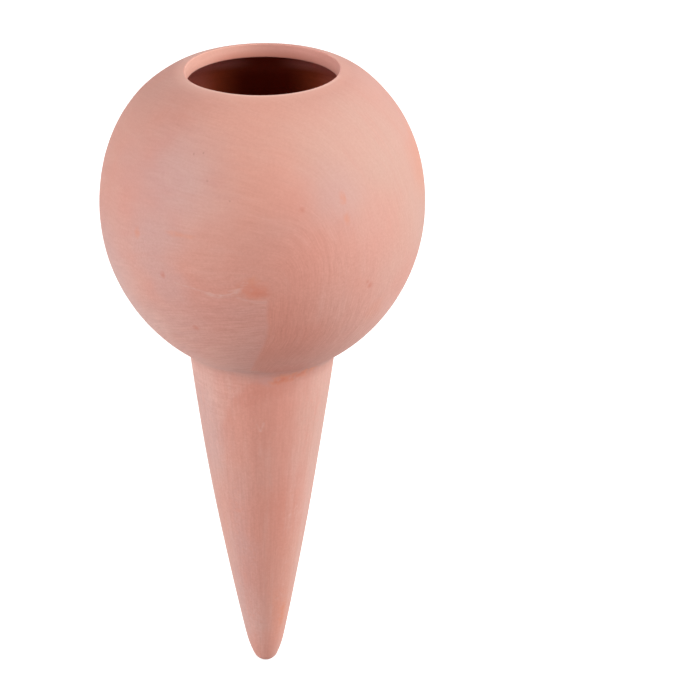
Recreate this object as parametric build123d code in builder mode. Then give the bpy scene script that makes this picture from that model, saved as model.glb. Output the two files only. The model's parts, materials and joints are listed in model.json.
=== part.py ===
from build123d import *
from math import acos, cos, sin, sqrt
import os

# Watering globe of unglazed clay: a hollow ball on a hollow spike, luted together with slip.
# Millimetres, +Z up. The origin is on the axis at the soil line, where the outside of the spike
# meets the underside of the ball.

# Globe
globe_radius = 45.0  # at the equator
belly_radius = 50.0  # profile of the lower half, an arc centred at the height of the equator
crown_height = 38.8  # from the equator up to the rim of the mouth
shoulder_lift = 0.70  # how far the side runs upright, as a share of the crown height
shoulder_reach = 0.235  # how far the top runs level, as a share of the way from the mouth to the side
globe_wall = 3.9
mouth_radius = 21.2
rim_round = 0.9
mouth_edge_round = 0.5
throat_radius = 12.5
throat_edge_round = 0.8

# Spike
spike_top_radius = 20.3  # outside, at the soil line
spike_length = 94.6  # from the soil line down to the tip
spike_wall = 3.8
tip_radius = 3.6
nose_radius = 31.0  # profile between the tip and the long side
nose_half_angle = 24.4  # slope of the profile where the tip ends, in degrees from the axis
taper_half_angle = 12.2  # slope of the profile where the long side begins
tip_thickness = 11.0  # solid clay below the hollow
hollow_tip_radius = 2.0

# Luting slip
slip_thickness = 0.8  # between the globe and the top edge of the spike
slip_reach = 1.6  # how far the wiped fillet spreads over the globe and down the spike
slip_hollow = 0.2  # depth of the fillet's curve
bead_reach = 1.5  # how far the squeezed bead spreads inside
bead_bulge = 0.4

# The lower half's arc sets how high the equator stands above the soil line.
belly_centre = globe_radius - belly_radius
corner_angle = acos((spike_top_radius - belly_centre) / belly_radius)
equator_height = belly_radius * sin(corner_angle)
rim_height = equator_height + crown_height
hollow_top_radius = spike_top_radius - spike_wall

# Directions in the profiles' plane, and the turn from level to upright
level = (1, 0)
straight_down = (0, -1)
quarter_turn = 90


def belly_point(radius, inset=0.0):
    """Point of the globe's lower half at a radius, on a surface that lies an inset inside the outer one."""
    drop = sqrt((belly_radius - inset) ** 2 - (radius - belly_centre) ** 2)
    return (radius, equator_height - drop)


def shoulder_points(inset=0.0):
    """Control points of the upper half, from the equator to the mouth, on the outer or an inset surface."""
    side = globe_radius - inset
    rise = crown_height - inset
    level_run = shoulder_reach * (side - mouth_radius)
    return (
        (side, equator_height),
        (side, equator_height + shoulder_lift * rise),
        (mouth_radius + level_run, equator_height + rise),
        (mouth_radius, equator_height + rise),
    )


def ring_edge(body, profile_point):
    """Round edge of a body nearest to a point of its profile."""
    radius, height = profile_point
    return body.edges().filter_by(GeomType.CIRCLE).sort_by_distance((radius, 0, height))[0]


with BuildPart() as globe:
    with BuildSketch(Plane.XZ):
        with BuildLine():
            outer_shoulder = Bezier(*shoulder_points())
            inner_shoulder = Bezier(*shoulder_points(globe_wall))
            outer_throat = belly_point(throat_radius)
            inner_throat = belly_point(throat_radius, globe_wall)
            TangentArc(outer_shoulder @ 0, outer_throat, tangent=straight_down)
            TangentArc(inner_shoulder @ 0, inner_throat, tangent=straight_down)
            Line(outer_shoulder @ 1, inner_shoulder @ 1)
            Line(outer_throat, inner_throat)
        make_face()
    revolve(axis=Axis.Z)
    fillet(ring_edge(globe, (mouth_radius, rim_height)), rim_round)
    fillet(ring_edge(globe, (mouth_radius, rim_height - globe_wall)), mouth_edge_round)
    fillet(ring_edge(globe, inner_throat), throat_edge_round)
    fillet(ring_edge(globe, outer_throat), throat_edge_round)
globe.part.label = "globe"

with BuildPart() as spike:
    with BuildSketch(Plane.XZ):
        with BuildLine():
            tip = JernArc((0, -spike_length), level, tip_radius, quarter_turn - nose_half_angle)
            nose = JernArc(tip @ 1, tip % 1, nose_radius, nose_half_angle - taper_half_angle)
            outer_side = TangentArc(nose @ 1, (spike_top_radius, 0), tangent=nose % 1)
            hollow_floor = (0, tip_thickness - spike_length)
            hollow_tip = JernArc(hollow_floor, level, hollow_tip_radius, quarter_turn - taper_half_angle)
            hollow_side = TangentArc(hollow_tip @ 1, (hollow_top_radius, 0), tangent=hollow_tip % 1)
            Line(outer_side @ 1, hollow_side @ 1)
            Line(tip @ 0, hollow_tip @ 0)
        make_face()
    revolve(axis=Axis.Z)
    # The top edge is cut to the globe's underside, with room for the slip.
    with BuildSketch(Plane.XZ):
        with BuildLine():
            cope_edge = spike_top_radius + slip_thickness
            cope = ThreePointArc(
                belly_point(0, -slip_thickness),
                belly_point(hollow_top_radius, -slip_thickness),
                belly_point(cope_edge, -slip_thickness),
            )
            Polyline(cope @ 1, (cope_edge, equator_height), (0, equator_height), cope @ 0)
        make_face()
    revolve(axis=Axis.Z, mode=Mode.SUBTRACT)
spike.part.label = "spike"

with BuildPart() as luting_slip:
    with BuildSketch(Plane.XZ):
        with BuildLine():
            spread_angle = corner_angle - slip_reach / belly_radius
            fillet_top = (
                belly_centre + belly_radius * cos(spread_angle),
                equator_height - belly_radius * sin(spread_angle),
            )
            fillet_foot = outer_side @ (1 - slip_reach / outer_side.length)
            bead_depth = bead_reach - belly_point(hollow_top_radius, -slip_thickness)[1]
            bead_foot = hollow_side @ (1 - bead_depth / hollow_side.length)
            bead_top = belly_point(hollow_top_radius - bead_reach)
            SagittaArc(fillet_foot, fillet_top, slip_hollow)
            Line(fillet_foot, bead_foot)
            SagittaArc(bead_foot, bead_top, bead_bulge)
            Line(bead_top, fillet_top)
        make_face()
    revolve(axis=Axis.Z)
    add(globe.part, mode=Mode.SUBTRACT)
    add(spike.part, mode=Mode.SUBTRACT)
luting_slip.part.label = "luting_slip"

os.makedirs("parts", exist_ok=True)
export_step(globe.part, "parts/globe.step")
export_step(spike.part, "parts/spike.step")
export_step(luting_slip.part, "parts/luting_slip.step")
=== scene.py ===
import json
from math import acos, atan2, cos, pi, radians, sin, sqrt

import bmesh
import bpy
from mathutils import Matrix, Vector


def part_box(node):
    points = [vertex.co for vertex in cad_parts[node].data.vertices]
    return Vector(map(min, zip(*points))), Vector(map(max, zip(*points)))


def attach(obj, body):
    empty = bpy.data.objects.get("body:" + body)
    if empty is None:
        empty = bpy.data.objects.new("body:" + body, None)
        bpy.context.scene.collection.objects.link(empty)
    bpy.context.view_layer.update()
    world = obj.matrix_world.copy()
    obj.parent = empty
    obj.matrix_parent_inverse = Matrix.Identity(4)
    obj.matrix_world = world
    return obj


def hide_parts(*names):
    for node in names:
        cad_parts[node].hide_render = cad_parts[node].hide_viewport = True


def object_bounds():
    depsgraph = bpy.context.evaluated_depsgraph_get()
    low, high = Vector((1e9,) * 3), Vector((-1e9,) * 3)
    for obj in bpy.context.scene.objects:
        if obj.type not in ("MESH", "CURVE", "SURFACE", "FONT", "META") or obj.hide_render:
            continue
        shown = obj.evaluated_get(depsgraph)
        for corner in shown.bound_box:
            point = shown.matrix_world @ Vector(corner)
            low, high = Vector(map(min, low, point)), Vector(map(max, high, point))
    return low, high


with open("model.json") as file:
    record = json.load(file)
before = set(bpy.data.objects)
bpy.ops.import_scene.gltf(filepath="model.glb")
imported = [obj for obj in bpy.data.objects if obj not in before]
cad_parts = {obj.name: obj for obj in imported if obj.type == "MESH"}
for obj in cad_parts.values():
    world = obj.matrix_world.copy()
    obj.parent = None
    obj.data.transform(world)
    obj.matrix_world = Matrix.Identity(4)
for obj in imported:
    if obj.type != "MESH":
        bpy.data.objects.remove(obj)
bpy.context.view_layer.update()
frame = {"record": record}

# The globe: a hollow ball of unglazed terracotta with a wall of about 4 mm, its mouth cut and rounded
# with a wet sponge, and a throat cut through its base. The sponge left fine strokes in the skin: level
# ones on the left, and ones that bend down on the right, where the hand turned to the spike.
globe_low, globe_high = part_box("globe")
globe_radius = globe_high.x
mouths = [mount for mount in frame["record"]["mounts"] if mount["name"] == "mouth"]
mouth_radius = mouths[0]["dims"]["r_mm"] / 1000
belly_radius = 0.050
crown_height = 0.0388
shoulder_lift = 0.70
shoulder_reach = 0.235
globe_wall = 0.0039
throat_radius = 0.0125
soil_line_radius = 0.0203
rim_round = 0.0007
edge_round = 0.0006
bore_taper = 0.0003
lip_droop = 0.00015
rim_swell = 0.00025
belly_centre = globe_radius - belly_radius
equator_height = sqrt(belly_radius**2 - (soil_line_radius - belly_centre) ** 2)
rim_height = equator_height + crown_height + rim_swell
lip_height = equator_height + crown_height - globe_wall - lip_droop
lip_radius = mouth_radius - bore_taper
belly_rows, shoulder_rows = 104, 118  # rows of the mesh along each run of the profile
inner_belly_rows, inner_shoulder_rows = 34, 36
rim_rows, bore_rows, lip_rows = 13, 6, 8
throat_rows, throat_edge_rows = 5, 6


def bezier_run(corners, rows):
    """Points of a Bezier curve through two to four control points, without its last point."""
    points = []
    for row in range(rows):
        level = [Vector(corner) for corner in corners]
        while len(level) > 1:
            level = [a.lerp(b, row / rows) for a, b in zip(level, level[1:])]
        points.append(level[0])
    return points


def arc_run(centre, radius, start, end, rows):
    """Points of an arc between two angles, without its last point."""
    angles = [start + (end - start) * row / rows for row in range(rows)]
    return [Vector((centre[0] + radius * cos(a), centre[1] + radius * sin(a))) for a in angles]


def shoulder_corners(inset):
    """Control points of the upper half, from the equator to the mouth, at a depth in the wall."""
    side = globe_radius - inset
    rise = crown_height - inset
    reach = shoulder_reach * (side - mouth_radius)
    return (
        (side, equator_height),
        (side, equator_height + shoulder_lift * rise),
        (mouth_radius + reach, equator_height + rise),
        (mouth_radius, equator_height + rise),
    )


def belly_angle(radius, inset):
    """Angle of the lower half's arc at a radius, at a depth in the wall."""
    return -acos((radius - belly_centre) / (belly_radius - inset))


belly = (belly_centre, equator_height)
inner_radius = belly_radius - globe_wall
throat_low = belly_angle(throat_radius + edge_round, 0)
throat_high = belly_angle(throat_radius + edge_round, globe_wall)
outer_belly = arc_run(belly, belly_radius, throat_low, 0, belly_rows)
outer_shoulder = bezier_run(shoulder_corners(0), shoulder_rows)
outer_shoulder = [p for p in outer_shoulder if p.x > mouth_radius + rim_round]
inner_shoulder = bezier_run(shoulder_corners(globe_wall), inner_shoulder_rows)
inner_shoulder = [p for p in inner_shoulder if p.x > mouth_radius + edge_round]
inner_belly = arc_run(belly, inner_radius, 0, throat_high, inner_belly_rows)
throat_foot = outer_belly[0].y
throat_head = equator_height + inner_radius * sin(throat_high)
rim_end = (mouth_radius, rim_height - rim_round)
lip_start = (lip_radius, lip_height + edge_round)
throat_start = (throat_radius + edge_round, throat_head)
throat_top = (throat_radius, throat_head - edge_round)
throat_base = (throat_radius, throat_foot + edge_round)
globe_profile = (
    outer_belly
    + outer_shoulder
    + bezier_run((outer_shoulder[-1], (mouth_radius, rim_height), rim_end), rim_rows)[1:]
    + bezier_run((rim_end, lip_start), bore_rows)
    + bezier_run((lip_start, (lip_radius, lip_height), inner_shoulder[-1]), lip_rows)
    + inner_shoulder[::-1]
    + inner_belly[1:]
    + bezier_run((throat_start, (throat_radius, throat_head), throat_top), throat_edge_rows)
    + bezier_run((throat_top, throat_base), throat_rows)
    + bezier_run((throat_base, (throat_radius, throat_foot), outer_belly[0]), throat_edge_rows)
    + outer_belly[:1]
)


def add_node(tree, kind, inputs=None, **settings):
    """Adds a node, sets its properties, and sets or links its inputs by name or number."""
    node = tree.nodes.new(kind)
    for name, value in settings.items():
        setattr(node, name, value)
    for key, value in (inputs or {}).items():
        if isinstance(value, bpy.types.NodeSocket):
            tree.links.new(value, node.inputs[key])
        else:
            node.inputs[key].default_value = value
    return node


def calc(tree, operation, *values):
    """Result of a Math node."""
    return add_node(tree, "ShaderNodeMath", dict(enumerate(values)), operation=operation).outputs[0]


def vector(tree, *parts):
    """A vector from its parts."""
    return add_node(tree, "ShaderNodeCombineXYZ", dict(enumerate(parts))).outputs[0]


def calc3(tree, operation, *vectors):
    """Result of a Vector Math node: a vector, or a number where it measures."""
    node = add_node(tree, "ShaderNodeVectorMath", dict(enumerate(vectors)), operation=operation)
    measures = operation in ("LENGTH", "DISTANCE", "DOT_PRODUCT")
    return node.outputs["Value" if measures else "Vector"]


def scaled(tree, way, amount):
    """A vector times a number."""
    return add_node(tree, "ShaderNodeVectorMath", {0: way, "Scale": amount}, operation="SCALE").outputs[0]


def parts_of(tree, place):
    """The x, y and z of a vector."""
    return add_node(tree, "ShaderNodeSeparateXYZ", {0: place}).outputs


def soften(tree, value, low, high):
    """Rises smoothly from 0 at one level to 1 at the other."""
    levels = {"Value": value, "From Min": low, "From Max": high}
    return add_node(tree, "ShaderNodeMapRange", levels, interpolation_type="SMOOTHSTEP").outputs[0]


seam_gap = 1e-7
flute_drift = 30.0
ring_drift = 15.0
lean_power = 1.5
rim_blend = 0.008


def turned_clay_tree():
    """Turns a profile in the XZ plane about the Z axis, and works it over as a hand does."""
    tree = bpy.data.node_groups.new("turned_clay", "GeometryNodeTree")
    tree.interface.new_socket("Profile", in_out="INPUT", socket_type="NodeSocketGeometry")
    for name, kind in (
        ("Segments", "Int"),
        ("Sway", "Float"),
        ("Sway Length", "Float"),
        ("Flutes", "Float"),
        ("Flute Count", "Float"),
        ("Rings", "Float"),
        ("Ring Width", "Float"),
        ("Lean", "Float"),
        ("Lean Start", "Float"),
        ("Lean Length", "Float"),
        ("Rim Tilt", "Float"),
        ("Rim Start", "Float"),
        ("Rim Dip", "Float"),
        ("Dip Spot", "Vector"),
        ("Dip Reach", "Float"),
        ("Seed", "Int"),
        ("Material", "Material"),
    ):
        tree.interface.new_socket(name, in_out="INPUT", socket_type="NodeSocket" + kind)
    tree.interface.new_socket("Geometry", in_out="OUTPUT", socket_type="NodeSocketGeometry")
    given = add_node(tree, "NodeGroupInput").outputs
    place = add_node(tree, "GeometryNodeInputPosition").outputs[0]

    # A sheet with a row for each point of the profile is wrapped round the axis and closed.
    count = add_node(tree, "GeometryNodeAttributeDomainSize", {0: given["Profile"]}, component="MESH")
    rows = count.outputs["Point Count"]
    columns = calc(tree, "ADD", given["Segments"], 1)
    sheet = add_node(
        tree, "GeometryNodeMeshGrid", {"Size X": 1, "Size Y": 1, "Vertices X": columns, "Vertices Y": rows}
    )
    across = parts_of(tree, place)
    turn = calc(tree, "MULTIPLY", calc(tree, "ADD", across[0], 0.5), 2 * pi)
    row = calc(tree, "MULTIPLY", calc(tree, "ADD", across[1], 0.5), calc(tree, "SUBTRACT", rows, 1))
    profile_point = add_node(
        tree,
        "GeometryNodeSampleIndex",
        {"Geometry": given["Profile"], "Value": place, "Index": calc(tree, "ROUND", row)},
        data_type="FLOAT_VECTOR",
        domain="POINT",
    )
    radius, _, height = parts_of(tree, profile_point.outputs[0])
    aside = calc(tree, "MULTIPLY", radius, calc(tree, "SINE", turn))
    ahead = calc(tree, "MULTIPLY", radius, calc(tree, "COSINE", turn))
    wrapped = add_node(
        tree,
        "GeometryNodeSetPosition",
        {"Geometry": sheet.outputs[0], "Position": vector(tree, aside, ahead, height)},
    )
    closed = add_node(
        tree, "GeometryNodeMergeByDistance", {"Geometry": wrapped.outputs[0], "Distance": seam_gap}
    )

    # The hand leaves slow swells, flutes along the axis, rings about it, a lean, and a tilted rim
    # with a dip in it.
    x, y, z = parts_of(tree, place)
    bearing = calc(tree, "ARCTAN2", y, x)
    turns = calc(tree, "DIVIDE", given["Flute Count"], 2 * pi)
    along_flutes = vector(
        tree,
        calc(tree, "MULTIPLY", calc(tree, "COSINE", bearing), turns),
        calc(tree, "MULTIPLY", calc(tree, "SINE", bearing), turns),
        calc(tree, "MULTIPLY", z, flute_drift),
    )
    swell_scale = calc(tree, "DIVIDE", 1.0, given["Sway Length"])
    ring_turn = calc(tree, "DIVIDE", z, given["Ring Width"])
    depth = 0.0
    for name, way, scale, w in (
        ("Sway", place, swell_scale, given["Seed"]),
        ("Flutes", along_flutes, 1.0, given["Seed"]),
        ("Rings", place, ring_drift, calc(tree, "DIVIDE", ring_turn, ring_drift)),
    ):
        wave = add_node(
            tree,
            "ShaderNodeTexNoise",
            {"Vector": way, "W": w, "Scale": scale, "Detail": 1.0},
            noise_dimensions="4D",
        )
        push = calc(tree, "MULTIPLY", calc(tree, "SUBTRACT", wave.outputs[0], 0.5), given[name])
        depth = calc(tree, "ADD", depth, push)
    outward = add_node(tree, "GeometryNodeInputNormal").outputs[0]
    swell = scaled(tree, outward, depth)
    drop = calc(tree, "DIVIDE", calc(tree, "SUBTRACT", given["Lean Start"], z), given["Lean Length"])
    bend = calc(tree, "POWER", calc(tree, "MAXIMUM", drop, 0.0), lean_power)
    near_rim = soften(tree, z, given["Rim Start"], calc(tree, "ADD", given["Rim Start"], rim_blend))
    tilt = calc(tree, "MULTIPLY", calc(tree, "MULTIPLY", x, given["Rim Tilt"]), near_rim)
    from_spot = calc3(tree, "LENGTH", calc3(tree, "SUBTRACT", place, given["Dip Spot"]))
    near_spot = soften(tree, from_spot, given["Dip Reach"], 0.0)
    dip = calc(tree, "MULTIPLY", given["Rim Dip"], near_spot)
    lean = calc(tree, "MULTIPLY", given["Lean"], bend)
    shift = calc3(tree, "ADD", swell, vector(tree, lean, 0.0, calc(tree, "SUBTRACT", tilt, dip)))
    worked = add_node(tree, "GeometryNodeSetPosition", {"Geometry": closed.outputs[0], "Offset": shift})
    whole = add_node(tree, "GeometryNodeRealizeInstances", {0: worked.outputs[0]})
    finished = add_node(
        tree, "GeometryNodeSetMaterial", {"Geometry": whole.outputs[0], "Material": given["Material"]}
    )
    add_node(tree, "NodeGroupOutput", {0: finished.outputs[0]})
    return tree


turned_clay = turned_clay_tree()
sharp_angle = radians(50)


def turn_piece(name, profile, sizes):
    """A piece turned from a profile with the turned_clay tree, as a plain mesh at the origin."""
    chain = bpy.data.meshes.new(name + "_profile")
    edges = [(i, i + 1) for i in range(len(profile) - 1)]
    chain.from_pydata([(p[0], 0, p[1]) for p in profile], edges, [])
    piece = bpy.data.objects.new(name, chain)
    bpy.context.scene.collection.objects.link(piece)
    turning = piece.modifiers.new("turning", "NODES")
    turning.node_group = turned_clay
    for socket in turned_clay.interface.items_tree:
        if socket.name in sizes:
            turning[socket.identifier] = sizes[socket.name]
    bpy.context.view_layer.update()
    evaluated = piece.evaluated_get(bpy.context.evaluated_depsgraph_get())
    mesh = bpy.data.meshes.new_from_object(evaluated)
    piece.modifiers.remove(turning)
    piece.data = mesh
    bpy.data.meshes.remove(chain)
    mesh.name = name
    mesh.materials.clear()
    mesh.materials.append(sizes["Material"])
    clay = bmesh.new()
    clay.from_mesh(mesh)
    bmesh.ops.recalc_face_normals(clay, faces=clay.faces)
    if clay.calc_volume(signed=True) < 0:
        bmesh.ops.reverse_faces(clay, faces=clay.faces)
    clay.to_mesh(mesh)
    clay.free()
    mesh.shade_smooth()
    mesh.set_sharp_from_angle(angle=sharp_angle)
    return piece


def both(tree, *masks):
    """Where all the masks are."""
    shared = masks[0]
    for mask in masks[1:]:
        shared = calc(tree, "MULTIPLY", shared, mask)
    return shared


def cover(tree, under, over, mask, amount=1.0):
    """One colour laid over another within a mask, by an amount."""
    if amount != 1.0:
        mask = calc(tree, "MULTIPLY", mask, amount)
    return add_node(tree, "ShaderNodeMix", {0: mask, 6: under, 7: over}, data_type="RGBA").outputs[2]


def mottle(tree, place, size, detail=2.0, seed=0.0, rough=0.5):
    """Cloudy noise with marks of about a size."""
    marks = {"Vector": place, "W": seed, "Scale": 1 / size, "Detail": detail, "Roughness": rough}
    return add_node(tree, "ShaderNodeTexNoise", marks, noise_dimensions="4D").outputs[0]


def waver(tree, place, size, depth):
    """Cloudy noise that goes above and below zero by a depth."""
    return calc(tree, "MULTIPLY", calc(tree, "SUBTRACT", mottle(tree, place, size), 0.5), depth)


stroke_rough = 0.65


def strokes(tree, place, across, width, length, detail=2.0):
    """Long thin marks: noise that changes fast across the strokes and slowly along them."""
    fast = calc(tree, "MULTIPLY", across, length / width)
    return mottle(tree, place, length, detail, fast, stroke_rough)


dusty = (0.95, 1.50, 1.65)


def shade(tree, colour, marks, depth):
    """A colour made dustier and lighter, or redder and darker, by marks."""
    change = calc(tree, "MULTIPLY", calc(tree, "SUBTRACT", marks, 0.5), depth)
    levels = [calc(tree, "MULTIPLY_ADD", change, share, 1.0) for share in dusty]
    tint = add_node(tree, "ShaderNodeCombineColor", dict(enumerate(levels))).outputs[0]
    colours = {0: 1.0, 6: colour, 7: tint}
    return add_node(tree, "ShaderNodeMix", colours, data_type="RGBA", blend_type="MULTIPLY").outputs[2]


round_dab = (1, 1, 1)
dab_grain = 0.8
dab_core = 0.1


def dab(tree, place, spot, reach, stretch=round_dab, ragged=0.5):
    """A dab with a ragged soft edge: 1 near a spot, and 0 past its reach."""
    if stretch == round_dab:
        away = calc3(tree, "DISTANCE", place, spot)
    else:
        away = calc3(tree, "LENGTH", calc3(tree, "MULTIPLY", calc3(tree, "SUBTRACT", place, spot), stretch))
    rough_edge = waver(tree, place, reach * dab_grain, reach * ragged * 2)
    return soften(tree, calc(tree, "ADD", away, rough_edge), reach, reach * dab_core)


trail_grain = 0.0022


def trail(tree, place, spots, width):
    """A thin ragged line that leads from spot to spot."""
    nearest = 1.0
    for start, end in zip(spots, spots[1:]):
        way = Vector(end) - Vector(start)
        away = calc3(tree, "SUBTRACT", place, start)
        share = calc(tree, "DIVIDE", calc3(tree, "DOT_PRODUCT", away, way), way.length_squared)
        share = calc(tree, "MINIMUM", calc(tree, "MAXIMUM", share, 0.0), 1.0)
        aside = calc3(tree, "SUBTRACT", away, scaled(tree, way, share))
        nearest = calc(tree, "MINIMUM", nearest, calc3(tree, "LENGTH", aside))
    rough_edge = waver(tree, place, trail_grain, width * 2)
    return soften(tree, calc(tree, "ADD", nearest, rough_edge), width, 0.0)


least_speck = 0.35
speck_core = 0.4


def specks(tree, place, spacing, size, share, seed):
    """Small round specks, in a share of the cells of an uneven net."""
    moved = calc3(tree, "ADD", place, (seed, seed, seed))
    cells = add_node(tree, "ShaderNodeTexVoronoi", {"Vector": moved, "Scale": 1 / spacing})
    chance = parts_of(tree, cells.outputs["Color"])
    chosen = calc(tree, "LESS_THAN", chance[0], share)
    reach = calc(tree, "MULTIPLY", calc(tree, "ADD", chance[1], least_speck), size / spacing)
    near = calc(tree, "DIVIDE", cells.outputs["Distance"], reach)
    return both(tree, chosen, soften(tree, near, 1.0, speck_core))


def clay_shader(name):
    """A material with a dry, dusty shader for fired clay, and its tree."""
    material = bpy.data.materials.new(name)
    material.use_nodes = True
    tree = material.node_tree
    shader = tree.nodes["Principled BSDF"]
    shader.inputs["Specular IOR Level"].default_value = 0.35
    shader.inputs["Sheen Weight"].default_value = 0.12
    shader.inputs["Sheen Roughness"].default_value = 0.5
    return material, tree, shader


def globe_radius_at(height):
    """Outer radius of the globe at a height."""
    if height < equator_height:
        return belly_centre + sqrt(belly_radius**2 - (equator_height - height) ** 2)
    below, above = [(a, b) for a, b in zip(outer_shoulder, outer_shoulder[1:]) if b.y >= height][0]
    return below.x + (above.x - below.x) * (height - below.y) / (above.y - below.y)


def around(bearing, radius, height):
    """A place about the axis: degrees to the right of the front, distance from the axis, and height."""
    return (radius * sin(radians(bearing)), -radius * cos(radians(bearing)), height)


def on_globe(bearing, height_mm):
    """A place on the globe: degrees to the right of the front, and height above the soil line."""
    height = height_mm / 1000
    return around(bearing, globe_radius_at(height), height)


clay_red = (0.660, 0.275, 0.210, 1)
clay_rose = (0.650, 0.340, 0.280, 1)
wash_lavender = (0.578, 0.345, 0.322, 1)
wash_grey = (0.585, 0.370, 0.302, 1)
wiped_red = (0.600, 0.215, 0.155, 1)
chalk = (0.700, 0.465, 0.412, 1)
iron_orange = (0.700, 0.250, 0.140, 1)
iron_rust = (0.655, 0.205, 0.130, 1)
iron_red = (0.560, 0.165, 0.115, 1)
pit_brown = (0.300, 0.100, 0.070, 1)
dull_rose = (0.570, 0.300, 0.265, 1)
crease_brown = (0.420, 0.150, 0.110, 1)
top_light_pale = (0.735, 0.350, 0.270, 1)
bore_beige = (0.850, 0.455, 0.360, 1)
bore_pink = (0.810, 0.375, 0.310, 1)
rim_highlight_pale = (0.880, 0.600, 0.520, 1)

globe_washes = (
    # bearing, height, reach in mm, amount, colour
    (-35, 62.5, 23, 0.60, wash_lavender),
    (-42, 44, 15, 0.55, wash_lavender),
    (-62, 44, 24, 0.22, wash_lavender),
    (-76, 50, 13, 0.28, clay_red),
    (-58, 63, 12, 0.25, wash_lavender),
    (-28, 68, 13, 0.26, chalk),
    (-26, 57, 11, 0.20, chalk),
    (-8, 73, 11, 0.18, chalk),
    (-36, 32, 10, 0.50, wash_lavender),
    (-60, 77, 10, 0.12, clay_red),
    (-80, 22, 28, 0.75, wash_lavender),
    (-70, 18, 24, 0.30, chalk),
    (-11, 59, 18, 0.13, bore_beige),
    # The next two pale washes at the upper front are painted light from above.
    (0, 79, 26, 0.75, top_light_pale),
    (2, 66, 20, 0.45, top_light_pale),
    (44, 69, 34, 0.60, wash_grey),
    (70, 48, 32, 0.64, wash_grey),
    (84, 56, 14, 0.36, iron_orange),
    (70, 18, 26, 0.10, chalk),
    (88, 79, 12, 0.18, chalk),
    (38, 46, 18, 0.35, clay_rose),
    (28, 59, 13, 0.35, wash_lavender),
    (9, 38, 24, 0.55, clay_red),
    (11, 43, 12, 0.30, clay_red),
    (13, 33, 12, 0.22, wiped_red),
    # The next three, near the far right and left sides, are painted shade: redder, darker clay there.
    (66, 28, 12, 0.45, clay_red),
    (84, 24, 11, 0.35, clay_red),
    (-90, 30, 12, 0.40, clay_red),
    (-7, 24, 12, 0.50, clay_red),
    (-6, 26, 16, 0.55, clay_red),
    (-14, 14, 16, 0.25, clay_red),
    (-34, 20, 17, 0.50, dull_rose),
    (-44, 7, 10, 0.30, wash_lavender),
    (-18, 28, 13, 0.28, dull_rose),
    (-15, 31, 13, 0.14, iron_red),
    (-42, 19, 13, 0.16, chalk),
    (-18, 44, 14, 0.30, clay_red),
    (14, 14, 20, 0.60, wiped_red),
    (-4, 6, 14, 0.30, wiped_red),
    (140, 58, 26, 0.45, wash_lavender),
    (-130, 40, 28, 0.50, wash_grey),
    (170, 28, 20, 0.45, clay_red),
)
globe_spots = (
    # bearing, height, reach in mm, stretch, amount, colour
    (-3.2, 34.3, 4.6, (0.75, 0.75, 1.3), 0.55, iron_rust),
    (-2.2, 32.5, 4.0, (0.70, 0.70, 1.7), 0.45, iron_rust),
    (-0.6, 32.6, 2.6, (0.70, 0.70, 1.9), 0.30, iron_red),
    (-3.7, 36.8, 2.2, (0.80, 0.80, 1.1), 0.30, iron_orange),
    (50.0, 21.5, 6.0, (1.2, 1.2, 0.80), 0.22, iron_orange),
    (30.6, 58.0, 2.4, (1.7, 1.7, 0.60), 0.38, iron_orange),
    (31.2, 52.5, 1.9, (1.3, 1.3, 0.70), 0.35, iron_orange),
    (-49.4, 45.3, 1.9, (1.0, 1.0, 0.80), 0.36, iron_orange),
    (-37.5, 35.0, 1.4, (1.0, 1.0, 1.0), 0.48, iron_red),
    (-27.7, 19.2, 1.5, (1.0, 1.0, 1.0), 0.55, iron_red),
    (42.5, 30.9, 1.3, (1.0, 1.0, 1.0), 0.60, iron_red),
    (41.0, 32.3, 0.9, (1.0, 1.0, 1.0), 0.40, iron_red),
    (14.3, 56.4, 1.3, (1.0, 1.0, 1.0), 0.40, iron_red),
    (-30.0, 48.0, 3.4, (0.60, 0.60, 2.6), 0.40, iron_orange),
    (-29.3, 69.2, 0.6, (1.6, 1.6, 0.7), 0.36, pit_brown),
    (-25.2, 69.8, 0.6, (1.8, 1.8, 0.6), 0.32, pit_brown),
    (-21.4, 63.3, 0.6, (1.2, 1.2, 1.0), 0.36, pit_brown),
    (105.0, 50.0, 1.8, (1.2, 1.2, 0.60), 0.50, iron_orange),
    (-98.0, 62.0, 1.5, (1.0, 1.0, 1.0), 0.50, iron_red),
    (-160.0, 55.0, 2.8, (0.60, 0.60, 2.0), 0.50, iron_orange),
    (150.0, 36.0, 1.4, (1.0, 1.0, 1.0), 0.50, iron_red),
)
joint_smears = (
    # bearing, height, radius, reach in mm, stretch, amount, colour: where the slip was wiped over all three
    (8, -5.0, 20.0, 8.0, (0.80, 0.80, 1.4), 0.35, wiped_red),
    (-10, 0.9, 21.0, 8.0, (0.70, 0.70, 2.2), 0.22, wash_lavender),
    (-9, 2.0, 22.5, 3.6, (0.60, 0.60, 4.5), 0.30, wash_grey),
    # This one darkens the globe's underside just above the crease on the right: partly slip and partly
    # painted shade.
    (17, 3.0, 24.5, 7.0, (0.70, 0.70, 1.3), 0.40, iron_red),
    (26, 5.5, 26.0, 14.0, (0.60, 0.60, 1.0), 0.22, crease_brown),
    (3, -1.8, 20.2, 4.5, (0.80, 0.80, 1.6), 0.36, wash_lavender),
    (160, -0.5, 20.4, 6.0, (0.80, 0.80, 2.6), 0.45, iron_orange),
    (-120, 0.6, 21.0, 7.0, (0.70, 0.70, 2.2), 0.35, wash_lavender),
)
joint_trails = (
    # spots of bearing, height and radius, half width in mm, amount, colour: slip wiped along the crease
    (
        ((9, -2.4, 20.1), (16, -1.8, 20.2), (26, -1.2, 20.3), (36, -0.6, 20.4), (44, 0.0, 20.5)),
        1.9,
        0.70,
        iron_orange,
    ),
    (((10, -2.5, 20.1), (18, -2.0, 20.2), (26, -1.5, 20.3), (33, -0.8, 20.4)), 1.2, 0.60, iron_red),
)
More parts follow.
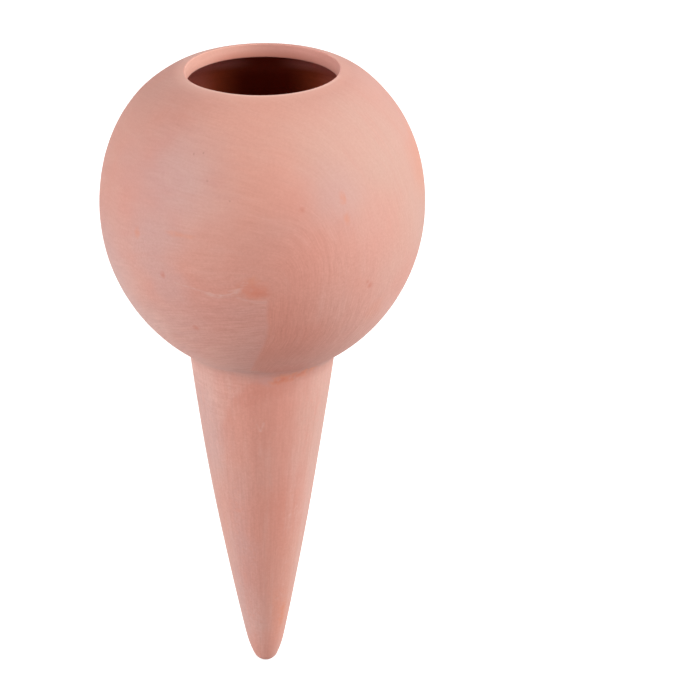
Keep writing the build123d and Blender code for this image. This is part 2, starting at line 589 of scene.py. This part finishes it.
slip_trails = (
    # spots of bearing and height, half width in mm, amount
    (((-32.2, 33.5), (-22.6, 32.6), (-18.2, 31.8), (-14.0, 31.8)), 0.60, 0.30),
    (((-15.0, 31.7), (-12.0, 32.2), (-9.0, 33.2), (-5.3, 35.9)), 0.65, 0.36),
    (((-22.0, 31.9), (-16.0, 31.0), (-11.5, 31.4), (-7.5, 33.4)), 0.50, 0.20),
    (((-12.0, 33.2), (-8.4, 34.0), (-6.6, 36.2)), 0.50, 0.22),
    (((-9.0, 31.4), (-4.4, 30.4), (1.2, 30.0)), 0.80, 0.20),
)
firm_spots = (
    # bearing, height, reach in mm, amount: where the sponge was pressed as it turned
    (12, 50, 18, 1.0),
    (18, 46, 15, 1.6),
)
wash_ragged = 0.45
stroke_tilt = radians(21.5)
stroke_fall = 0.04
fall_growth = 0.30
stroke_spread = 1.25
stroke_waver = (0.02, 0.10)  # size, depth
edge_waver = (0.004, 0.03)
hair_stroke = (0.00040, 0.0055, 1.0)  # width, length, detail
fine_stroke = (0.0008, 0.0095, 2.0)
broad_stroke = (0.0035, 0.020, 3.0)
bore_stroke = (0.0012, 0.010)
chalky_level = (0.50, 0.75)  # broad strokes that show chalk, and those that show red clay
red_level = (0.50, 0.25)
edge_bearing = radians(1.8)
edge_bend = radians(7.0)
edge_bend_height = 0.018
edge_bend_length = 0.0125
edge_bend_power = 1.3
hook_drop = radians(13.5)
hook_squeeze = 1.5
hook_round = 3.0
cloud_size = 0.026
grit_size = 0.0007
patch_size = 0.0012
dot_size = 0.0011
rust_specks = (0.016, 0.0009, 0.22)  # spacing, size, share of the cells
pinhole_specks = (0.010, 0.00035, 0.15)
pinhole_dark = 0.25
crease_above = (0.0040, 0.0010)
crease_below = (-0.0040, -0.0015)
crease_shade_share = 0.21
plain_rough, cloud_rough, grit_rough = 0.70, 0.08, 0.14
mark_relief, grit_relief = 0.5, 0.4
relief_depth = 0.00004


def clay_grain(tree, place):
    """The clouds and the grit of the clay."""
    cloud = soften(tree, mottle(tree, place, cloud_size, 3.0, 2.0), 0.36, 0.64)
    grit = mottle(tree, place, grit_size, 3.0, 0.0, 0.7)
    return cloud, grit


def clay_ground(tree, cloud):
    """The clay under a skin, rose and red in clouds."""
    return cover(tree, clay_red, clay_rose, calc(tree, "MULTIPLY_ADD", cloud, 0.5, 0.25))


def dabs(tree, place, skin, marks, spot_of):
    """A skin with patchy dabs of colour laid over it."""
    patchy = soften(tree, mottle(tree, place, patch_size, 2.0, 11.0), 0.15, 0.55)
    for *spot, reach, stretch, amount, colour in marks:
        mask = both(tree, dab(tree, place, spot_of(*spot), reach / 1000, stretch), patchy)
        skin = cover(tree, skin, colour, mask, amount)
    return skin


def near_joint(bearing, height_mm, radius_mm):
    """A place near the joint: degrees to the right of the front, height, and distance from the axis."""
    return around(bearing, radius_mm / 1000, height_mm / 1000)


def joint_marks(tree, place, skin):
    """A skin with the marks that the slip left about the joint, on all three pieces, and a band along the
    crease that is partly darker slip and partly painted shade.
    """
    height = parts_of(tree, place)[2]
    # Painted shade along the crease, partly a darker slip.
    crease_shade = both(tree, soften(tree, height, *crease_above), soften(tree, height, *crease_below))
    skin = cover(tree, skin, crease_brown, crease_shade, crease_shade_share)
    skin = dabs(tree, place, skin, joint_smears, near_joint)
    dotted = soften(tree, mottle(tree, place, dot_size, 2.0, 8.0), 0.30, 0.62)
    for spots, width, amount, colour in joint_trails:
        line = trail(tree, place, [near_joint(*spot) for spot in spots], width / 1000)
        skin = cover(tree, skin, colour, both(tree, line, dotted), amount)
    return skin


def dry_finish(tree, shader, colour, cloud, grit, marks):
    """Ends a clay skin: its colour, a dry uneven gloss, and a shallow relief of its marks and grit."""
    tree.links.new(colour, shader.inputs["Base Color"])
    by_cloud = calc(tree, "MULTIPLY", cloud, cloud_rough)
    by_grit = calc(tree, "MULTIPLY", grit, grit_rough)
    rough = calc(tree, "ADD", plain_rough, calc(tree, "ADD", by_cloud, by_grit))
    tree.links.new(rough, shader.inputs["Roughness"])
    raised = calc(tree, "MULTIPLY", marks, mark_relief)
    height = calc(tree, "ADD", raised, calc(tree, "MULTIPLY", grit, grit_relief))
    bump = add_node(tree, "ShaderNodeBump", {"Height": height, "Distance": relief_depth, "Strength": 1.0})
    tree.links.new(bump.outputs[0], shader.inputs["Normal"])


def sponged_terracotta():
    """The globe's skin: clouded clay, washes of thin slip, sponge strokes, iron spots and pinholes."""
    material, tree, shader = clay_shader("sponged_terracotta")
    place = add_node(tree, "ShaderNodeTexCoord").outputs["Object"]
    x, y, z = parts_of(tree, place)
    way = calc3(tree, "NORMALIZE", calc3(tree, "SUBTRACT", place, (0, 0, equator_height)))
    cloud, grit = clay_grain(tree, place)
    skin = clay_ground(tree, cloud)

    # The strokes run level on the left, falling a little to the right, turn a corner on the upper right,
    # and run down on the lower right, where their edge bends to the left on its way to the spike.
    unsteady = waver(tree, place, *stroke_waver)
    shiver = waver(tree, place, *edge_waver)
    sunk = calc(tree, "MAXIMUM", calc(tree, "SUBTRACT", edge_bend_height, z), 0.0)
    bent = calc(tree, "POWER", calc(tree, "DIVIDE", sunk, edge_bend_length), edge_bend_power)
    edge = calc(tree, "SUBTRACT", edge_bearing, calc(tree, "MULTIPLY", bent, edge_bend))
    bearing = calc(tree, "ARCTAN2", x, calc(tree, "ABSOLUTE", y))
    aside = calc(tree, "SUBTRACT", bearing, calc(tree, "ADD", edge, shiver))
    up = calc3(tree, "DOT_PRODUCT", way, (0, sin(stroke_tilt), cos(stroke_tilt)))
    level = calc(tree, "ADD", calc(tree, "ARCSINE", up), stroke_tilt + hook_drop)
    fall = calc(tree, "MULTIPLY_ADD", level, fall_growth, stroke_fall)
    fall = calc(tree, "MULTIPLY", fall, calc3(tree, "DOT_PRODUCT", way, (1, 0, 0)))
    lift = calc(tree, "ADD", calc(tree, "ADD", level, fall), unsteady)
    rise = calc(tree, "DIVIDE", calc(tree, "MAXIMUM", lift, 0.0), hook_squeeze)
    spread = calc(tree, "POWER", calc(tree, "ABSOLUTE", aside), hook_round)
    turned = calc(tree, "ADD", spread, calc(tree, "POWER", rise, hook_round))
    rightward = soften(tree, aside, -0.015, 0.015)
    leftward = calc(tree, "SUBTRACT", 1.0, rightward)
    hooked = both(tree, rightward, calc(tree, "POWER", turned, 1 / hook_round))
    plain = both(tree, leftward, calc(tree, "DIVIDE", lift, hook_squeeze))
    across = calc(tree, "MULTIPLY", calc(tree, "ADD", hooked, plain), globe_radius * stroke_spread)
    hair = strokes(tree, place, across, *hair_stroke)
    fine = strokes(tree, place, across, *fine_stroke)
    broad = strokes(tree, place, across, *broad_stroke)

    # Washes of thin slip, among them painted light at the upper front and painted shade at the far sides,
    # and the
    # wiped edge: paler on its left and redder on its right.
    for turn, height, reach, amount, colour in globe_washes:
        wash = dab(tree, place, on_globe(turn, height), reach / 1000, ragged=wash_ragged)
        skin = cover(tree, skin, colour, wash, amount)
    below = soften(tree, lift, 0.02, -0.12)
    facing = soften(tree, y, 0.0, -0.008)
    bare = both(tree, soften(tree, aside, -0.015, 0.025), below, facing, soften(tree, aside, 0.60, 0.05))
    skin = cover(tree, skin, wiped_red, bare, 0.40)
    filmed = both(tree, soften(tree, aside, 0.02, -0.02), below, facing, soften(tree, aside, -0.45, -0.10))
    skin = cover(tree, skin, dull_rose, filmed, 0.35)

    # Strokes: chalky where slip dried on them, red where the sponge cut through, and fine light and dark.
    skin = cover(tree, skin, chalk, soften(tree, broad, *chalky_level), 0.08)
    skin = cover(tree, skin, clay_red, soften(tree, broad, *red_level), 0.16)
    firmly = soften(tree, mottle(tree, place, 0.016, 2.0, 6.0), 0.35, 0.65)
    for turn, height, reach, amount in firm_spots:
        pressed = dab(tree, place, on_globe(turn, height), reach / 1000)
        firmly = calc(tree, "MULTIPLY_ADD", pressed, amount, firmly)
    scraped = calc(tree, "ADD", calc(tree, "MULTIPLY_ADD", firmly, 0.6, 0.45), below)
    calm = both(tree, rightward, soften(tree, lift, 0.10, 0.45))
    scraped = both(tree, scraped, calc(tree, "MULTIPLY_ADD", calm, -0.25, 1.0))
    lower = soften(tree, z, 0.058, 0.034)
    fine_depth = calc(tree, "MULTIPLY_ADD", lower, 0.010, 0.070)
    hair_depth = calc(tree, "MULTIPLY_ADD", lower, 0.050, 0.100)
    grit_depth = calc(tree, "MULTIPLY_ADD", lower, 0.130, 0.165)
    skin = shade(tree, skin, fine, both(tree, scraped, fine_depth))
    skin = shade(tree, skin, hair, both(tree, scraped, hair_depth))
    skin = shade(tree, skin, grit, grit_depth)
    dried = soften(tree, hair, 0.22, 0.50)
    for spots, width, amount in slip_trails:
        line = trail(tree, place, [on_globe(*spot) for spot in spots], width / 1000)
        skin = cover(tree, skin, chalk, both(tree, line, dried), amount)
    skin = dabs(tree, place, skin, globe_spots, on_globe)
    skin = joint_marks(tree, place, skin)
    skin = cover(tree, skin, iron_orange, specks(tree, place, *rust_specks, 0.37), 0.20)
    pinholes = specks(tree, place, *pinhole_specks, 0.81)
    skin = cover(tree, skin, pit_brown, pinholes, pinhole_dark)

    # The sponged bore and rim of the mouth are paler than the clay: partly a dry pale skin and partly
    # painted light, most on the left. Painted shade darkens the foot of the bore, and a painted highlight
    # runs along the rim's front edge.
    axle = calc(tree, "SQRT", calc(tree, "ADD", calc(tree, "MULTIPLY", x, x), calc(tree, "MULTIPLY", y, y)))
    past_bore = calc(tree, "SUBTRACT", axle, mouth_radius)
    near_top = soften(tree, z, 0.060, 0.072)
    mouth_edge = both(tree, soften(tree, past_bore, 0.0044, 0.0006), near_top)
    skin = cover(tree, skin, bore_beige, mouth_edge, 0.40)
    bore = both(tree, soften(tree, past_bore, 0.0007, 0.0002), near_top)
    wiped_round = strokes(tree, place, z, *bore_stroke)
    # Painted light: the bore is paler on its left, where the light from the right falls.
    to_right = calc(tree, "MULTIPLY_ADD", calc(tree, "SUBTRACT", wiped_round, 0.5), 0.03, x)
    bore_skin = cover(tree, bore_beige, bore_pink, soften(tree, to_right, -0.016, 0.010))
    bore_skin = shade(tree, shade(tree, bore_skin, wiped_round, 0.25), grit, 0.15)
    # Painted shade: the bore darkens towards its foot, most in the middle.
    bore_foot = soften(tree, calc(tree, "SUBTRACT", z, lip_height), 0.0032, 0.0004)
    in_middle = soften(tree, calc(tree, "ABSOLUTE", x), 0.018, 0.007)
    bore_foot_shade = both(tree, bore_foot, calc(tree, "MULTIPLY_ADD", in_middle, 0.55, 0.3))
    bore_skin = cover(tree, bore_skin, wiped_red, bore_foot_shade)
    skin = cover(tree, skin, bore_skin, bore, 0.92)
    # Painted highlight: a thin pale line along the front edge of the rim.
    rim_highlight = both(tree, soften(tree, past_bore, -0.0001, 0.0005), soften(tree, past_bore, 0.0015, 0.0007))
    on_top = soften(tree, calc(tree, "SUBTRACT", z, rim_height), -0.0016, -0.0006)
    rim_highlight = both(tree, rim_highlight, on_top, soften(tree, y, -0.003, -0.012))
    skin = cover(tree, skin, rim_highlight_pale, rim_highlight, 0.40)
    dry_finish(tree, shader, skin, cloud, grit, calc(tree, "SUBTRACT", fine, pinholes))
    return material


shadow_deep_red = (0.118, 0.012, 0.004, 1)
shadow_dark_red = (0.240, 0.042, 0.020, 1)
side_light_brown = (0.600, 0.125, 0.050, 1)
side_light_rose = (0.700, 0.215, 0.165, 1)
lip_light_rose = (0.850, 0.360, 0.320, 1)
inside_ring = (0.0016, 0.020, 3.0)
dark_middle = 0.0010


def inside_painted_shade():
    """The inside of a hollow piece: clay in painted shade, dark red, with painted light at the two sides
    and under the mouth.
    """
    material, tree, shader = clay_shader("inside_painted_shade")
    shader.inputs["Specular IOR Level"].default_value = 0.0
    shader.inputs["Sheen Weight"].default_value = 0.0
    place = add_node(tree, "ShaderNodeTexCoord").outputs["Object"]
    x, _, z = parts_of(tree, place)
    rings = strokes(tree, place, z, *inside_ring)
    cloud, grit = clay_grain(tree, place)
    beside = calc(tree, "ABSOLUTE", calc(tree, "SUBTRACT", x, dark_middle))
    # Painted shade: darkest low down and in the middle. The paler sides and the band under the mouth are
    # painted light.
    colour = cover(tree, shadow_deep_red, shadow_dark_red, soften(tree, z, 0.066, 0.077))
    colour = cover(tree, colour, side_light_brown, soften(tree, beside, 0.0050, 0.0225))
    colour = cover(tree, colour, side_light_rose, soften(tree, beside, 0.0130, 0.0220))
    under_lip_light = both(tree, soften(tree, z, 0.0705, 0.0750), soften(tree, beside, 0.002, 0.013))
    colour = cover(tree, colour, lip_light_rose, under_lip_light, 0.70)
    colour = shade(tree, shade(tree, colour, rings, 0.35), grit, 0.3)
    dry_finish(tree, shader, colour, cloud, grit, rings)
    return material


inside_shade_clay = inside_painted_shade()


def line_inside(piece, lowest, highest, bore_radius, bore_foot):
    """Gives the inside's painted shade to the faces of a hollow piece that look at its axis, but not to a
    bore.
    """
    piece.data.materials.append(inside_shade_clay)
    for face in piece.data.polygons:
        outwards = Vector((face.center.x, face.center.y, 0))
        inner = face.normal.dot(outwards) < 0 and lowest < face.center.z < highest
        in_bore = outwards.length < bore_radius and face.center.z > bore_foot
        face.material_index = 1 if inner and not in_bore else 0


hand_swells = {"Sway": 0.0002, "Sway Length": 0.03, "Seed": 3}
globe = turn_piece(
    "clay_globe",
    globe_profile,
    {
        **hand_swells,
        "Segments": 270,
        "Rings": 0.00004,
        "Ring Width": 0.0025,
        "Rim Tilt": 0.012,
        "Rim Start": 0.072,
        "Rim Dip": 0.00045,
        "Dip Spot": (-0.0208, -0.0052, rim_height),
        "Dip Reach": 0.017,
        "Material": sponged_terracotta(),
    },
)
bore_foot_height = lip_height - globe_wall
line_inside(globe, globe_low.z - edge_round, rim_height, mouth_radius + edge_round / 2, bore_foot_height)
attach(globe, "root")
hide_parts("globe")

# The spike: a hollow taper of the same clay, open at the top and closed at a rounded tip, wiped along
# its length with a wet sponge. It leans a little, and its top edge is cut to the globe's underside.
spike_low, spike_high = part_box("spike")
spike_length = -spike_low.z
spike_wall = 0.0038
tip_radius = 0.0036
nose_radius = 0.031
nose_half_angle = radians(24.4)
taper_half_angle = radians(12.2)
tip_thickness = 0.011
hollow_tip_radius = 0.002
slip_thickness = 0.0008
hollow_radius = soil_line_radius - spike_wall
edge_gap = 0.0001
tip_rows, nose_rows = 10, 16
side_rows, hollow_rows, edge_rows = 190, 60, 8


def tangent_arc_run(start, heading, end, rows):
    """Points of the arc that leaves a point in a heading and ends at another."""
    chord = Vector(end) - Vector(start)
    left = Vector((-heading[1], heading[0]))
    centre = Vector(start) + left * (chord.length_squared / (2 * chord.dot(left)))
    first = Vector(start) - centre
    last = Vector(end) - centre
    return arc_run(centre, first.length, atan2(first.y, first.x), atan2(last.y, last.x), rows)


def spike_run(foot, tip_round, slopes, top, rows):
    """Profile of the spike or its hollow, from the axis through a round tip and a nose to the top."""
    points = arc_run((0, foot + tip_round), tip_round, -pi / 2, -slopes[0], tip_rows)
    side = Vector((cos(slopes[0]), -sin(slopes[0])))
    start = Vector((0, foot + tip_round)) + tip_round * side
    for slope, next_slope in zip(slopes, slopes[1:]):
        centre = start - nose_radius * side
        points += arc_run(centre, nose_radius, -slope, -next_slope, nose_rows)
        side = Vector((cos(next_slope), -sin(next_slope)))
        start = centre + nose_radius * side
    return points + tangent_arc_run(start, (-side.y, side.x), top, rows)


def cope_height(radius):
    """Height of the spike's cut top edge at a radius."""
    return equator_height + (belly_radius + slip_thickness) * sin(belly_angle(radius, -slip_thickness))


spike_slopes = (nose_half_angle, taper_half_angle)
spike_outside = spike_run(-spike_length, tip_radius, spike_slopes, (soil_line_radius, 0), side_rows)
spike_outside = [p for p in spike_outside if p.y < cope_height(p.x) - edge_gap]
hollow_foot = tip_thickness - spike_length
spike_inside = spike_run(hollow_foot, hollow_tip_radius, spike_slopes[1:], (hollow_radius, 0), hollow_rows)
spike_inside = [p for p in spike_inside if p.y < cope_height(p.x) - edge_gap]
edge_start, edge_end = spike_outside[-1].x, spike_inside[-1].x
edge_radii = [edge_start + (edge_end - edge_start) * i / edge_rows for i in range(edge_rows + 1)]
spike_edge = [Vector((r, cope_height(r))) for r in edge_radii]
spike_profile = spike_outside + spike_edge + spike_inside[::-1]


def on_spike(bearing, depth_mm):
    """A place on the spike: degrees to the right of the front, and depth below the soil line."""
    level = min(spike_outside, key=lambda p: abs(p.y + depth_mm / 1000))
    return around(bearing, level.x, level.y)


nick_trails = (
    # spots of bearing and depth, half width in mm, amount
    (((1.1, 15.5), (-1.4, 17.8)), 0.70, 0.24),
    (((-4.6, 16.1), (-1.6, 17.8)), 0.60, 0.16),
)
spike_spots = (
    # bearing, depth, reach in mm, stretch, amount, colour
    (-2.0, 24.0, 1.8, (1.8, 1.8, 0.35), 0.20, chalk),
    (48.0, 78.0, 2.8, (1.5, 1.5, 0.50), 0.80, iron_orange),
    (-40.0, 80.0, 14.0, (1.6, 1.6, 0.60), 0.55, wash_lavender),
    (-28.0, 45.0, 14.0, (2.2, 2.2, 0.60), 0.30, wash_lavender),
    (4.0, 14.0, 13.0, (1.0, 1.0, 0.70), 0.62, clay_red),
    (4.0, 46.0, 13.0, (1.6, 1.6, 0.40), 0.50, clay_red),
    (62.0, 18.0, 22.0, (1.6, 1.6, 0.70), 0.45, wash_grey),
    (-62.0, 17.0, 19.0, (1.6, 1.6, 0.70), 0.50, wash_lavender),
    (-28.0, 62.0, 12.0, (1.6, 1.6, 0.50), 0.55, wash_lavender),
    (36.0, 44.0, 12.0, (2.0, 2.0, 0.45), 0.35, clay_red),
    (60.0, 62.0, 20.0, (1.8, 1.8, 0.60), 0.18, wash_grey),
    (44.0, 58.0, 13.0, (1.6, 1.6, 0.40), 0.16, iron_orange),
    (2.0, 68.0, 14.0, (1.4, 1.4, 0.50), 0.45, clay_red),
    (-32.0, 84.0, 12.0, (1.4, 1.4, 0.55), 0.30, chalk),
    (44.0, 79.0, 9.0, (1.4, 1.4, 0.60), 0.28, iron_orange),
    (30.0, 42.0, 15.0, (2.0, 2.0, 0.40), 0.26, wiped_red),
    (-20.0, 7.0, 9.0, (0.80, 0.80, 1.0), 0.22, iron_red),
    (0.0, 91.0, 9.0, (0.90, 0.90, 0.90), 0.50, clay_red),
    (120.0, 40.0, 1.4, (1.2, 1.2, 0.60), 0.40, iron_orange),
    (-140.0, 22.0, 1.2, (1.0, 1.0, 1.0), 0.40, iron_red),
)
film_start = radians(13.3)
film_swing = radians(-398)  # for the square root of the depth in metres
film_waver = (0.006, 0.25)
hair_bands = (200, 0.006, 1.0, 9.0)  # count round the spike, length, detail, seed
fine_bands = (100, 0.012, 2.0, 1.0)
broad_bands = (26, 0.035, 3.0, 4.0)
wide_bands = (9, 0.045, 1.0, 7.0)


def wiped_terracotta():
    """The spike's skin: the same clay with strokes along it, paler at the sides as dust and painted sheen,
    and iron spots.
    """
    material, tree, shader = clay_shader("wiped_terracotta")
    place = add_node(tree, "ShaderNodeTexCoord").outputs["Object"]
    x, y, z = parts_of(tree, place)
    bearing = calc(tree, "ARCTAN2", x, calc(tree, "MULTIPLY", y, -1.0))
    sine = calc(tree, "SINE", bearing)
    cosine = calc(tree, "COSINE", bearing)

    def bands(count, length, detail, seed):
        """Noise in bands along the spike, about a count of them round it."""
        turns = count / (2 * pi)
        ring = [calc(tree, "MULTIPLY", part, turns) for part in (sine, cosine)]
        slow = calc(tree, "DIVIDE", z, length)
        return mottle(tree, vector(tree, *ring, slow), 1.0, detail, seed, stroke_rough)

    hair = bands(*hair_bands)
    fine = bands(*fine_bands)
    broad = bands(*broad_bands)
    wide = bands(*wide_bands)
    cloud, grit = clay_grain(tree, place)
    # The sides, left and right as seen from the front, are paler: partly dust and partly painted sheen of
    # the side lights.
    unevenly = calc(tree, "ADD", calc(tree, "ABSOLUTE", sine), calc(tree, "SUBTRACT", wide, 0.5))
    skin = cover(tree, clay_ground(tree, cloud), chalk, soften(tree, unevenly, 0.40, 1.0), 0.40)

    # The globe's wiped edge goes on down to the left, with a paler film on its left that is stroked level.
    depth = calc(tree, "MAXIMUM", calc(tree, "MULTIPLY", z, -1.0), 0.0)
    film_edge = calc(tree, "MULTIPLY_ADD", calc(tree, "SQRT", depth), film_swing, film_start)
    wobble = waver(tree, place, *film_waver)
    past = calc(tree, "ADD", calc(tree, "SUBTRACT", bearing, film_edge), wobble)
    film = both(tree, soften(tree, past, 0.06, -0.06), soften(tree, bearing, -3.0, -2.4))
    skin = cover(tree, skin, chalk, film, 0.19)
    film_top = both(tree, film, soften(tree, z, -0.022, -0.010))
    level_strokes = strokes(tree, place, z, *fine_stroke)
    skin = shade(tree, skin, level_strokes, calc(tree, "MULTIPLY", film_top, 0.28))
    skin = dabs(tree, place, skin, spike_spots, on_spike)
    skin = cover(tree, skin, chalk, soften(tree, broad, *chalky_level), 0.20)
    skin = cover(tree, skin, clay_red, soften(tree, broad, *red_level), 0.30)
    left = soften(tree, sine, 0.10, -0.30)
    skin = shade(tree, skin, fine, calc(tree, "MULTIPLY_ADD", left, 0.040, 0.085))
    skin = shade(tree, skin, hair, calc(tree, "MULTIPLY_ADD", left, 0.040, 0.100))
    skin = shade(tree, skin, grit, calc(tree, "MULTIPLY_ADD", left, 0.110, 0.190))
    for spots, width, amount in nick_trails:
        line = trail(tree, place, [on_spike(*spot) for spot in spots], width / 1000)
        skin = cover(tree, skin, chalk, line, amount)
    skin = joint_marks(tree, place, skin)
    pinholes = specks(tree, place, *pinhole_specks, 0.23)
    skin = cover(tree, skin, pit_brown, pinholes, pinhole_dark)
    dry_finish(tree, shader, skin, cloud, grit, calc(tree, "SUBTRACT", fine, pinholes))
    return material


wiped_skin = wiped_terracotta()
spike_flutes = {"Flutes": 0.0001, "Flute Count": 26.0}
spike = turn_piece(
    "clay_spike",
    spike_profile,
    {
        **hand_swells,
        **spike_flutes,
        "Segments": 240,
        "Lean": 0.00103,
        "Lean Start": -0.020,
        "Lean Length": 0.0746,
        "Material": wiped_skin,
    },
)
line_inside(spike, hollow_foot, spike_high.z, 0.0, 0.0)
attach(spike, "root")
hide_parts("spike")

# The slip: liquid clay that lutes the spike to the globe. It fills the cut between them, was wiped to a
# small hollow fillet outside, and stands as a squeezed bead inside.
slip_reach = 0.0016
fillet_hug = 0.60
bead_reach = 0.0015
bead_bulge = 0.0004
fillet_rows, seat_rows, bead_rows = 18, 14, 10


def bowed_run(start, end, bow, rows):
    """Points of a shallow curve between two points, bowed to the left of its way by a distance."""
    way = Vector(end) - Vector(start)
    left = Vector((-way.y, way.x)).normalized()
    corner = (Vector(start) + Vector(end)) / 2 + left * bow * 2
    return bezier_run((start, corner, end), rows)


def belly_point(angle):
    """Point of the globe's outside at an angle of its lower half's arc."""
    return Vector((belly_centre + belly_radius * cos(angle), equator_height + belly_radius * sin(angle)))


spread_angle = belly_angle(soil_line_radius, 0) + slip_reach / belly_radius
bead_angle = belly_angle(hollow_radius - bead_reach, 0)
corner = Vector((soil_line_radius, 0))
fillet_top = belly_point(spread_angle)
fillet_foot = [p for p in spike_outside if p.y < -slip_reach][-1]
bead_top = belly_point(bead_angle)
bead_foot = [p for p in spike_inside if p.y < spike_edge[-1].y - bead_reach][-1]
fillet_guides = [end.lerp(corner, fillet_hug) for end in (fillet_foot, fillet_top)]
slip_profile = (
    bezier_run((fillet_foot, *fillet_guides, fillet_top), fillet_rows)
    + arc_run(belly, belly_radius, spread_angle, bead_angle, seat_rows)
    + bowed_run(bead_top, bead_foot, bead_bulge, bead_rows)
    + [p for p in spike_inside if p.y >= bead_foot.y]
    + spike_edge[::-1]
    + [p for p in spike_outside if p.y >= fillet_foot.y][::-1]
)
slip = turn_piece(
    "luting_slip_ring",
    slip_profile,
    {**hand_swells, **spike_flutes, "Segments": 240, "Material": wiped_skin},
)
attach(slip, "root")
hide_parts("luting_slip")

# The floor: a wide sheet of pale paper that the tip stands on. It looks white from the camera, apart from
# the object's shadow on it.
floor_reach = 8.0
white = (1, 1, 1, 1)
paper_grey = (0.62, 0.62, 0.62, 1)
paper_glow = 0.75
floor_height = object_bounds()[0][2]
corners = [(-1, -1), (1, -1), (1, 1), (-1, 1)]
floor_corners = [(x * floor_reach, y * floor_reach, floor_height) for x, y in corners]
floor_mesh = bpy.data.meshes.new("floor")
floor_mesh.from_pydata(floor_corners, [], [(0, 1, 2, 3)])
floor = bpy.data.objects.new("floor", floor_mesh)
bpy.context.scene.collection.objects.link(floor)
paper = bpy.data.materials.new("pale_paper")
paper.use_nodes = True
paper_tree = paper.node_tree
paper_tree.nodes.clear()
matt = add_node(paper_tree, "ShaderNodeBsdfDiffuse", {"Color": paper_grey}).outputs[0]
glow = add_node(paper_tree, "ShaderNodeEmission", {"Color": white, "Strength": paper_glow}).outputs[0]
lit = add_node(paper_tree, "ShaderNodeAddShader", {0: matt, 1: glow}).outputs[0]
path = add_node(paper_tree, "ShaderNodeLightPath").outputs
seen = calc(paper_tree, "MAXIMUM", path["Is Camera Ray"], path["Is Glossy Ray"])
seen = calc(paper_tree, "MAXIMUM", seen, path["Is Transmission Ray"])
face = add_node(paper_tree, "ShaderNodeMixShader", {0: seen, 1: matt, 2: lit}).outputs[0]
add_node(paper_tree, "ShaderNodeOutputMaterial", {0: face})
floor_mesh.materials.append(paper)

# The light: a wide softbox high on the right, a smaller one low on the left, three fills across the front,
# one behind, and a small lamp that catches the rim of the mouth.
room_light = 0.10
world = bpy.data.worlds.new("studio")
bpy.context.scene.world = world
world.use_nodes = True
world.node_tree.nodes["Background"].inputs["Color"].default_value = white
world.node_tree.nodes["Background"].inputs["Strength"].default_value = room_light


def softbox(name, bearing, height, distance, size, power):
    """A round soft light aimed at the object: angles in degrees, lengths in metres, and power in watts."""
    lamp_data = bpy.data.lights.new(name, "AREA")
    lamp_data.shape = "DISK"
    lamp_data.size = size
    lamp_data.energy = power
    lamp = bpy.data.objects.new(name, lamp_data)
    bpy.context.scene.collection.objects.link(lamp)
    level = cos(radians(height))
    way = Vector((sin(radians(bearing)) * level, -cos(radians(bearing)) * level, sin(radians(height))))
    lamp.location = way * distance
    lamp.rotation_euler = way.to_track_quat("Z", "Y").to_euler()
    lamp.visible_camera = False


softbox("right_softbox", 90, 31, 1.4, 0.9, 15.0)
softbox("left_softbox", -90, 6, 1.4, 0.35, 9.2)
softbox("right_fill", 45, 30, 1.6, 0.7, 7.0)
softbox("left_fill", -45, 30, 1.6, 0.7, 6.6)
softbox("front_fill", 0, 25, 2.4, 1.0, 10.2)
softbox("back_fill", 180, 20, 2.4, 1.0, 6.0)
softbox("rim_lamp", 180, 60, 1.4, 0.6, 2.4)

# The camera: far off, with a long lens, and a little above the object. The object stands left of the
# middle of the picture.
picture_width = 700
axis_column = 262.3
pixels_per_metre = 3593
elevation = radians(21.5)
aim_height = -0.00078
distance = 2.0
camera_data = bpy.data.cameras.new("camera")
camera = bpy.data.objects.new("camera", camera_data)
bpy.context.scene.collection.objects.link(camera)
camera.location = Vector((0, 0, aim_height)) + distance * Vector((0, -cos(elevation), sin(elevation)))
camera.rotation_euler = (pi / 2 - elevation, 0, 0)
camera_data.sensor_width = 36
camera_data.lens = camera_data.sensor_width * pixels_per_metre * distance / picture_width
camera_data.shift_x = (picture_width / 2 - axis_column) / picture_width
camera_data.clip_end = 100
bpy.context.scene.camera = camera
bpy.context.scene.view_settings.view_transform = "Standard"
